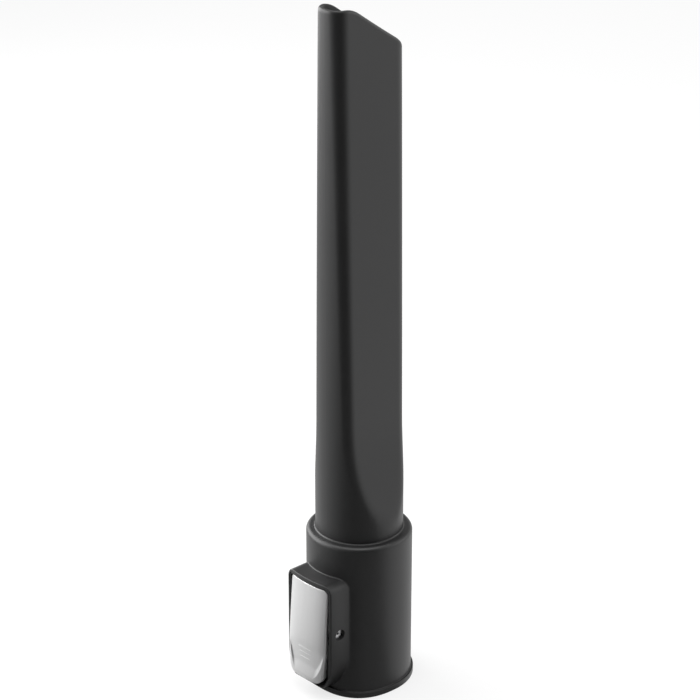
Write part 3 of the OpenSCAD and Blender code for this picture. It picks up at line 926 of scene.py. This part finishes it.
class NOZZLE_OT_nozzle_tube(bpy.types.Operator):
    """Builds the tube, from its flange to the slanted mouth"""

    bl_idname = "nozzle.nozzle_tube"
    bl_label = "Nozzle tube"

    def execute(self, context):
        look = context.scene.nozzle_finish
        black = moulded_plastic("tube_plastic", look.plastic, look.plastic_rough)
        piece = nozzle_tube(context.scene.nozzle_tube_sizes, context.scene.nozzle_collar, black)
        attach(piece, "body")
        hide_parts("nozzle_tube")
        return {"FINISHED"}


# ---- Socket collar ----


def squared(radius, power, turn):
    """A ring's radius at each angle: round behind, and squared by the given power in front."""
    c, s = np.abs(np.cos(turn)), np.abs(np.sin(turn))
    front = radius / (c**power + s**power) ** (1 / power)
    return np.where(np.sin(turn) < 0, front, radius)


def skirt_power(collar, z):
    """Squareness of the skirt at height z."""
    rise = (collar.skirt_height - z) / (collar.skirt_height - collar.lip_height)
    return 2 + (collar.lip_power - 2) * np.clip(rise, 0, 1) ** 2


def collar_front(collar, x, z):
    """How far the collar's skin lies in front of the axis at x, at height z, without its lip."""
    nearly_all = 0.999
    power = skirt_power(collar, z)
    x = np.minimum(np.abs(x), collar.radius * nearly_all)
    return (collar.radius**power - x**power) ** (1 / power)


def barrel(collar):
    """The collar's round wall: up the lip and the skirt, over the shoulder, and down the stepped bore."""
    flange_height, root, lead, mouth = 4 * MM, 0.25 * MM, 0.5 * MM, 0.3 * MM
    skirt_rings, wall_rings = 16, 22
    lip_radius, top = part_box("socket_collar")[1].x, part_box("socket_collar")[1].z - collar.cove
    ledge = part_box("nozzle_tube")[0].z + flange_height
    r, edge, lip, shoulder = collar.radius, collar.lip_round, collar.lip_height, collar.shoulder
    square = [
        *arc(lip_radius - edge, edge, edge, -90, 0, 5),
        *arc(lip_radius - edge, lip - edge, edge, 0, 90, 5),
        *arc(r + root, lip + root, root, 270, 180, 4),
    ]
    skirt = np.linspace(lip + 2 * root, collar.skirt_height, skirt_rings)
    circular = [
        *((r, z) for z in np.linspace(collar.skirt_height, top - shoulder, wall_rings)[1:-1]),
        *arc(r - shoulder, top - shoulder, shoulder, 0, 90, 12),
        *arc(collar.neck_radius + collar.cove, top + collar.cove, collar.cove, 270, 185, 8),
        (collar.neck_radius, ledge),
        (collar.grip_radius, ledge),
        (collar.grip_radius, collar.grip_height + lead),
        (collar.bore_radius, collar.grip_height),
        *arc(collar.bore_radius + mouth, mouth, mouth, 180, 270, 3),
    ]
    steps = [(radius, z, collar.lip_power) for radius, z in square]
    steps += [(r, z, skirt_power(collar, z)) for z in skirt]
    steps += [(radius, z, 2) for radius, z in circular]
    turn = full_turn(collar.points_around)
    profile = [(squared(radius, power, turn), z) for radius, z, power in steps]
    return ring_skin("socket_collar_skin", turned(profile, turn))


# Points up each side of the housing, below, beside and above the slot, and the height of the slot's ends
SIDE_STEPS = (14, 10, 22)
SLOT_STEP = 0.03 * MM


def side_heights(collar, low, high):
    """Heights up a side of the housing, with close pairs at the ends of the slot beside the hub."""
    below, above = PIVOT[2] - collar.slot_width / 2, PIVOT[2] + collar.slot_width / 2
    runs = [(low, below), (below + SLOT_STEP, above), (above + SLOT_STEP, high)]
    return np.concatenate([np.linspace(a, b, n) for (a, b), n in zip(runs, SIDE_STEPS)])


def front_outline(foot, side, half, top, corner):
    """A closed outline from the path of its right half: the foot, the side, a round corner and the top."""
    foot_points, bend_points, head_points = 40, 14, 16
    bend = spread(arc(half - corner, top - corner, corner, 0, 90, 24), bend_points)[1:]
    head = spread([[half - corner, top], [0, top]], head_points)
    right = np.concatenate([spread(foot, foot_points), side, bend, head, [[0, top]]])
    return np.concatenate([right, (right * [-1, 1])[:0:-1]])


def housing_outline(collar, inset=0.0):
    """Front view of the housing, drawn in by an inset: a half ellipse below, sides and round top corners."""
    half, corner = collar.housing_width / 2 - inset, collar.top_corner - inset
    top, waist = collar.housing_top - inset, collar.housing_foot + collar.foot_height
    turn = np.radians(np.linspace(-90, 0, 90))
    foot = np.stack([half * np.cos(turn), waist + (collar.foot_height - inset) * np.sin(turn)], 1)
    heights = side_heights(collar, waist, top - corner)
    return front_outline(foot, np.stack([np.full(len(heights), half), heights], 1), half, top, corner)


def opening_outline(collar):
    """Front view of the opening that the button sits in, point for point beside the housing's outline."""
    half, corner = collar.housing_width / 2 - collar.rim, collar.opening_top
    top, waist = collar.housing_top - collar.top_rim, collar.housing_foot + collar.foot_height
    low, bend = collar.sill, collar.opening_foot
    foot = [[0, low], *arc(half - bend, low + bend, bend, -90, 0, 20), [half, waist]]
    heights = side_heights(collar, waist, top - corner)
    notch = np.abs(heights - PIVOT[2] - SLOT_STEP / 2) < collar.slot_width / 2
    return front_outline(foot, np.stack([half + notch * collar.slot_depth, heights], 1), half, top, corner)


def bezel(collar, x, z):
    """How far the housing's front lies in front of the axis: a leaning curved bezel, and a chin below it."""
    setback, bend = 0.3 * MM, 0.6 * MM
    lean = (collar.housing_top - z) * math.tan(collar.bezel_lean)
    face = collar.bezel_front + lean - (collar.bezel_curve - np.sqrt(collar.bezel_curve**2 - x * x))
    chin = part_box("socket_collar")[1].x - setback + z / math.tan(collar.chin)
    return blend_min(face, chin, bend)


def latch_housing(collar):
    """The housing's wall as a closed ring: out of the collar, over the edge and the rim, and back inside."""
    buried, sunk, just_sunk, buried_inside = 1.2 * MM, 0.25 * MM, 0.02 * MM, 0.96 * MM
    step_start, step_run, step_wall, soft = 2.8 * MM, 4 * MM, 0.18 * MM, 0.15 * MM

    def ring(outline, out):
        return np.stack([outline[:, 0], -out, outline[:, 1]], 1)

    def front(outline):
        return bezel(collar, outline[:, 0], outline[:, 1])

    def skin(outline):
        return collar_front(collar, outline[:, 0], outline[:, 1])

    outer, grown = housing_outline(collar), housing_outline(collar, -collar.root_fillet)
    start, end = skin(outer) + collar.root_fillet, front(outer) - collar.edge
    rings = [ring(outer, skin(outer) - buried), ring(grown, skin(grown) - sunk)]
    foot, corner, wall = ring(grown, skin(grown) - just_sunk), ring(outer, skin(outer)), ring(outer, start)
    for t in np.linspace(0, 1, 7):
        rings.append((1 - t) ** 2 * foot + 2 * t * (1 - t) * corner + t * t * wall)
    for t in (0.33, 0.67, 1):
        rings.append(ring(outer, start + (end - start) * t))
    for turn in np.radians(np.linspace(0, 90, 7)[1:]):
        line = housing_outline(collar, collar.edge * (1 - math.cos(turn)))
        rings.append(ring(line, front(line) - collar.edge * (1 - math.sin(turn))))

    line, opening = housing_outline(collar, collar.edge), opening_outline(collar)
    step = np.clip((outer[:, 1] - PIVOT[2] - step_start) / step_run, 0, 1) * collar.rim_step
    across = collar.rim - collar.edge
    land, fall, lip = (collar.rim / 2 - collar.edge) / across, step_wall / across, soft / across
    for t, depth in ((land * 0.5, 0), (land, 0), (land + fall, 1), (0.5 + land / 2, 1), (1 - lip, 1)):
        between = line + (opening - line) * t
        rings.append(ring(between, front(between) - step * depth))
    for turn in np.radians((45, 90)):
        between = line + (opening - line) * (1 - lip * (1 - math.sin(turn)))
        rings.append(ring(between, front(between) - step - soft * (1 - math.cos(turn))))
    inside = front(opening) - step - soft
    for t in (0.5, 1):
        rings.append(ring(opening, inside + (collar.thick_from - inside) * t))
    half = collar.housing_width / 2 - collar.thick_wall
    narrow = np.stack([np.clip(opening[:, 0], -half, half), opening[:, 1]], 1)
    rings.append(ring(narrow, np.full(len(narrow), collar.thick_from)))
    rings.append(ring(narrow, skin(narrow) - buried_inside))
    return ring_skin("latch_housing", rings)


def socket_collar(collar, latch, material):
    """The collar and its housing joined, with the pin's holes, the hook's window and the pocket cut."""
    past, soft, gap = 1 * MM, 0.15 * MM, 0.3 * MM
    pocket_cut, hole_depth, window_depth = 2 * MM, 4 * MM, 3 * MM
    piece = barrel(collar)
    carve(piece, latch_housing(collar), "UNION")
    centre = (0, *PIVOT[1:])
    hole, bore, side = collar.hole_radius, collar.counterbore, collar.housing_width / 2
    floor, inner = side - collar.counterbore_depth, side - collar.thick_wall
    pin_hole = [(0, side + past), (bore + soft, side + past), (bore + soft, side), (bore, side - soft),
                (bore, floor), (hole, floor), (hole, side - hole_depth), (0, side - hole_depth)]
    relief = rod(collar.hub_relief, latch.hub_inner - gap, latch.hub_outer + gap)
    for flip in (-1, 1):
        for name, profile in (("hole", pin_hole), ("relief", relief)):
            carve(piece, lathe(name, [(r, flip * h) for r, h in profile], centre, "X"))
    carve(piece, lathe("groove", rod(collar.pin_relief, -inner, inner), centre, "X"))
    half = collar.window_width / 2
    low = (-half, -collar.radius - past, collar.window_foot)
    carve(piece, box("window", low, (half, -collar.neck_radius + window_depth, collar.window_top)))
    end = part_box("return_spring")[1].y
    pocket = rod(collar.pocket_radius, end - pocket_cut, end)
    carve(piece, lathe("pocket", pocket, (0, 0, latch.spring_height), "Y"))
    smooth_shade(piece)
    dress(piece, material)
    return piece


class NOZZLE_OT_socket_collar(bpy.types.Operator):
    """Builds the socket collar with its latch housing"""

    bl_idname = "nozzle.socket_collar"
    bl_label = "Socket collar"

    def execute(self, context):
        look = context.scene.nozzle_finish
        black = moulded_plastic("collar_plastic", look.plastic, look.plastic_rough)
        piece = socket_collar(context.scene.nozzle_collar, context.scene.nozzle_latch, black)
        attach(piece, "body")
        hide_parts("socket_collar")
        return {"FINISHED"}


# ---- Latch ----

# How much further apart the points stand on the lever, which is hidden, than on the button
LEVER_CELLS = 1.5


def button_outline(latch, x, z, inset):
    """Distance outside the button's front outline, drawn in by an inset."""
    least_top_corner, least_foot_corner = 0.3 * MM, 0.8 * MM
    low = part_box("button_cap")[0].z
    narrow = latch.taper * np.clip((latch.taper_from - z) / (latch.taper_from - low), 0, 1)
    side = np.abs(x) - (latch.half_width - narrow - inset)
    upper = soft_max(side, z - (latch.top - inset), max(latch.high_corner - inset, least_top_corner))
    return soft_max(upper, low + inset - z, max(latch.low_corner - inset, least_foot_corner))


def button_ridge(latch, z):
    """How far the middle of the button's face lies in front of the axis: upright below and leaning above."""
    rise, bend = z - latch.lean_from, latch.lean_bend
    lean = np.where(rise > bend, rise, np.maximum(rise + bend, 0) ** 2 / (4 * bend))
    return latch.front - lean * math.tan(latch.lean)


def button_face(latch, x, z):
    """How far the button's curved face lies in front of the axis."""
    pillow = latch.pillow * np.minimum((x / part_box("button_cap")[1].x) ** 4, 2)
    return button_ridge(latch, z) - latch.curve + np.sqrt(np.maximum(latch.curve**2 - x * x, 0)) - pillow


def rest_floor(latch, x, z):
    """How far the thumb rest's floor lies in front of the axis."""
    floor = latch.front - latch.rest_floor + (z - latch.rest_middle) ** 2 / (2 * latch.rest_curve)
    return floor - x * x / (2 * latch.curve)


def thumb_rest(latch, x, z):
    """Depth of the thumb rest below the button's face: sloped side and foot walls round a curved floor."""
    floor_bend, wall_bend, rim_bend, setback = 0.35 * MM, 0.12 * MM, 0.05 * MM, 0.015 * MM
    spread = latch.rest_spread * (z - latch.rest_foot)
    left = (-x - latch.rest_left - spread) * math.tan(latch.rest_left_wall)
    right = (x - latch.rest_right - spread) * math.tan(latch.rest_right_wall)
    foot = (latch.rest_foot - z) * math.tan(latch.rest_foot_wall)
    wall = -soft_max(np.maximum(left, right), foot, latch.rest_corner * math.tan(latch.rest_right_wall))
    deep = -blend_min(rest_floor(latch, x, z) - button_face(latch, x, z), 0.0, floor_bend)
    return soft_max(blend_min(wall, deep, wall_bend), 0.0, rim_bend) + setback


def button_distance(latch, p):
    """Distance field of the button cap: a shell with soft front edges and a thumb rest."""
    back_edge, cavity_edge, lip_edge = 0.2 * MM, 0.4 * MM, 0.15 * MM
    x, y, z = p[..., 0], p[..., 1], p[..., 2]
    ahead = -y - button_face(latch, x, z)
    front = ahead + np.maximum(thumb_rest(latch, x, z), 0)
    behind = button_ridge(latch, z) - latch.depth + y
    edge = latch.top_edge + (latch.edge - latch.top_edge) * np.clip((latch.top - z) / latch.edge_change, 0, 1)
    body = soft_max(soft_max(button_outline(latch, x, z, 0), front, edge), behind, back_edge)
    cavity = soft_max(button_outline(latch, x, z, latch.wall), ahead + latch.wall, cavity_edge)
    return soft_max(body, -cavity, lip_edge)


def block(p, low, high, radius):
    """Distance field of a block with soft edges."""
    low, high = np.array(low), np.array(high)
    reach = np.abs(p - (low + high) / 2) - (high - low) / 2 + radius
    return np.linalg.norm(np.maximum(reach, 0), axis=-1) + np.minimum(reach.max(-1), 0) - radius


def lever_distance(latch, p):
    """Distance field of the lever: a plate behind the button, hubs, webs, the hook on its arm and a peg."""
    fine, arm_start, peg_start, peg_half = 0.1 * MM, 4 * MM, 1.3 * MM, 1 * MM
    nose, nose_rise, nose_run = 2.4 * MM, 2.6, 2.4
    x, y, z = p[..., 0], p[..., 1], p[..., 2]
    side, soft = np.abs(x), latch.soft
    ahead = -y - button_face(latch, x, z)
    plate_front = latch.wall + latch.slip
    plate_back = plate_front + latch.plate
    behind = button_ridge(latch, z) - plate_back + y
    plate = soft_max(ahead + plate_front, behind, soft)
    shape = soft_max(button_outline(latch, x, z, plate_front), plate, soft)
    radial = np.hypot(y - PIVOT[1], z - PIVOT[2])
    middle, half = (latch.hub_inner + latch.hub_outer) / 2, (latch.hub_outer - latch.hub_inner) / 2
    hub = soft_max(radial - latch.hub_radius, np.abs(side - middle) - half, soft)
    reach = latch.front - (PIVOT[2] - latch.lean_from) * math.tan(latch.lean) - plate_back + latch.plate / 3
    web_low = (latch.hub_inner, -reach, PIVOT[2] - latch.hub_radius)
    web_high = (latch.hub_inner + latch.web, PIVOT[1], PIVOT[2] + latch.hub_radius)
    web = block(np.stack([side, y, z], -1), web_low, web_high, fine)
    hook_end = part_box("latch_lever")[1].y
    arm_low = (-latch.hook_width / 2, arm_start - latch.front, latch.hook_top - latch.hook_height)
    arm = block(p, arm_low, (latch.hook_width / 2, hook_end, latch.hook_top), soft)
    slope = (y - hook_end + nose) * nose_rise - (z - arm_low[2]) * nose_run
    arm = soft_max(arm, slope / math.hypot(nose_rise, nose_run), soft)
    peg_end = latch.front - plate_back - peg_start
    round_peg = np.hypot(x, z - latch.spring_height) - latch.peg_radius
    peg = soft_max(round_peg, np.abs(-y - peg_end - peg_half) - peg_half, soft)
    for part in (hub, web, arm, peg):
        shape = soft_min(shape, part, soft)
    return soft_max(shape, latch.pin_radius + latch.slip - radial, fine)


def grip_ribs(latch, material):
    """The grip ribs on the thumb rest's floor: one rib, placed and lengthened by a rule for each row."""
    g = ShapeGraph("grip_ribs")
    count, pitch, length, growth = g.read(latch, "rib_count", "rib_pitch", "rib_length", "rib_growth")
    first, radius, depth = g.read(latch, "rib_first", "rib_radius", "rib_depth")
    middle, curve = g.read(latch, "rest_middle", "rest_curve")
    floor = g.ask("Floor", latch.front - latch.rest_floor)
    sunk = g.ask("Sunk", latch.rib_depth - latch.rib_proud)
    seen = g.root(1 - (sunk / depth) * (sunk / depth))
    row = g.out(g.node("GeometryNodeInputIndex"))
    height = first + row * pitch
    step = height - middle
    line = g.node("GeometryNodeMeshLine", {"Count": count}, mode="OFFSET")
    place = g.vector(0, sunk - (floor + step * step / (2 * curve)), height)
    rows = g.node("GeometryNodeSetPosition", {"Geometry": line, "Position": place})
    ball = g.node("GeometryNodeMeshUVSphere", {"Segments": 32, "Rings": 24, "Radius": 1.0})
    stretch = g.vector((length + growth * row) / 2 / seen, depth, radius)
    ribs = g.node("GeometryNodeInstanceOnPoints", {"Points": rows, "Instance": ball, "Scale": stretch})
    return g.bake(ribs, material)


def return_spring(latch, material):
    """The return spring: round wire swept along a coil from the pocket's floor to the lever's plate."""
    low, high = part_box("return_spring")
    g = ShapeGraph("return_spring_wire")
    wire, radius = g.ask("Wire", latch.wire / 2), g.ask("Radius", latch.spring_radius - latch.wire / 2)
    travel, turns = g.ask("Travel", high.y - low.y - latch.wire), g.ask("Turns", float(latch.turns))
    start, height = g.ask("Start", high.y - latch.wire / 2), g.ask("Axis height", latch.spring_height)
    coil = g.node("GeometryNodeCurveSpiral", {
        "Resolution": 48, "Rotations": turns, "Start Radius": radius, "End Radius": radius, "Height": travel})
    ring = g.node("GeometryNodeCurvePrimitiveCircle", {"Resolution": 16, "Radius": wire}, mode="RADIUS")
    swept = g.node("GeometryNodeCurveToMesh", {"Curve": coil, "Profile Curve": ring, "Fill Caps": True})
    along_y, place = (math.pi / 2, 0, 0), g.vector(0, start, height)
    placed = g.node("GeometryNodeTransform", {"Geometry": swept, "Translation": place, "Rotation": along_y})
    return g.bake(placed, material)


def pivot_pin(latch, material):
    """The rolled pin: a hollow tube with soft ends and a slot along it."""
    outer, inner = latch.pin_radius, latch.pin_radius - latch.pin_wall
    soft, half_slot = 0.25 * MM, latch.pin_slot / 2
    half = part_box("pivot_pin")[1].x + latch.pin_proud
    rim = arc(outer - soft, half - soft, soft, 0, 90, 5)
    bore = arc(inner + soft / 2, half - soft / 2, soft / 2, 90, 180, 3)
    profile = np.concatenate([rim[::-1] * [1, -1], rim, bore, bore[::-1] * [1, -1]])
    piece = ring_skin("pivot_pin_skin", turned(profile, full_turn(96), "X") + np.array((0, *PIVOT[1:])))
    low = (-half - soft, PIVOT[1] - half_slot, PIVOT[2])
    carve(piece, box("slot", low, (half + soft, PIVOT[1] + half_slot, PIVOT[2] + outer + soft)))
    smooth_shade(piece)
    dress(piece, material)
    return piece


class NOZZLE_OT_button_cap(bpy.types.Operator):
    """Builds the silver button cap and the grip ribs of its thumb rest"""

    bl_idname = "nozzle.button_cap"
    bl_label = "Button cap"

    def execute(self, context):
        latch, look = context.scene.nozzle_latch, context.scene.nozzle_finish
        silver = silver_paint("button_paint", look.silver, look.silver_rough)
        low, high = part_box("button_cap")
        low.x, high.x = -latch.half_width, latch.half_width
        cap = field_skin("button_cap_skin", lambda p: button_distance(latch, p), low, high, latch.cell)
        dress(cap, silver)
        for piece in (cap, grip_ribs(latch, silver)):
            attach(piece, "latch")
        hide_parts("button_cap")
        return {"FINISHED"}


class NOZZLE_OT_latch_lever(bpy.types.Operator):
    """Builds the lever with its hubs, its hook and the spring's peg"""

    bl_idname = "nozzle.latch_lever"
    bl_label = "Latch lever"

    def execute(self, context):
        latch, look = context.scene.nozzle_latch, context.scene.nozzle_finish
        low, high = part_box("latch_lever")
        cell = latch.cell * LEVER_CELLS
        piece = field_skin("latch_lever_skin", lambda p: lever_distance(latch, p), low, high, cell)
        dress(piece, moulded_plastic("lever_moulding", look.lever, look.lever_rough))
        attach(piece, "latch")
        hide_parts("latch_lever")
        return {"FINISHED"}


class NOZZLE_OT_pin_and_spring(bpy.types.Operator):
    """Builds the rolled pivot pin and the coiled return spring"""

    bl_idname = "nozzle.pin_and_spring"
    bl_label = "Pivot pin and return spring"

    def execute(self, context):
        latch, look = context.scene.nozzle_latch, context.scene.nozzle_finish
        pin = pivot_pin(latch, drawn_steel("pin_plating", look.steel, look.steel_rough))
        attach(pin, "body")
        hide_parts("pivot_pin")
        spring = return_spring(latch, drawn_steel("spring_wire", look.steel, look.steel_rough))
        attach(spring, "body")
        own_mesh(spring)
        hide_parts("return_spring")
        return {"FINISHED"}


# ---- Panel ----


OPERATORS = (
    NOZZLE_OT_studio,
    NOZZLE_OT_nozzle_tube,
    NOZZLE_OT_socket_collar,
    NOZZLE_OT_button_cap,
    NOZZLE_OT_latch_lever,
    NOZZLE_OT_pin_and_spring,
)


class NOZZLE_PT_panel(bpy.types.Panel):
    """Lists the pieces that can be built"""

    bl_idname = "NOZZLE_PT_panel"
    bl_label = "Crevice nozzle"
    bl_space_type = "VIEW_3D"
    bl_region_type = "UI"
    bl_category = "Nozzle"

    def draw(self, context):
        for operator in OPERATORS:
            self.layout.operator(operator.bl_idname)


SETTINGS = {
    "nozzle_studio": StudioSettings,
    "nozzle_tube_sizes": TubeSettings,
    "nozzle_collar": CollarSettings,
    "nozzle_latch": LatchSettings,
    "nozzle_finish": FinishSettings,
}


def register():
    """Adds the settings, the operators and the panel."""
    for item in (*SETTINGS.values(), *OPERATORS, NOZZLE_PT_panel):
        bpy.utils.register_class(item)
    for name, group in SETTINGS.items():
        setattr(bpy.types.Scene, name, PointerProperty(type=group))


def unregister():
    """Takes them away again."""
    for name in SETTINGS:
        delattr(bpy.types.Scene, name)
    for item in (NOZZLE_PT_panel, *OPERATORS, *SETTINGS.values()):
        bpy.utils.unregister_class(item)


def main():
    """Builds every piece and the studio."""
    register()
    for operator in OPERATORS:
        group, name = operator.bl_idname.split(".")
        getattr(getattr(bpy.ops, group), name)()


if __name__ == "__main__":
    main()
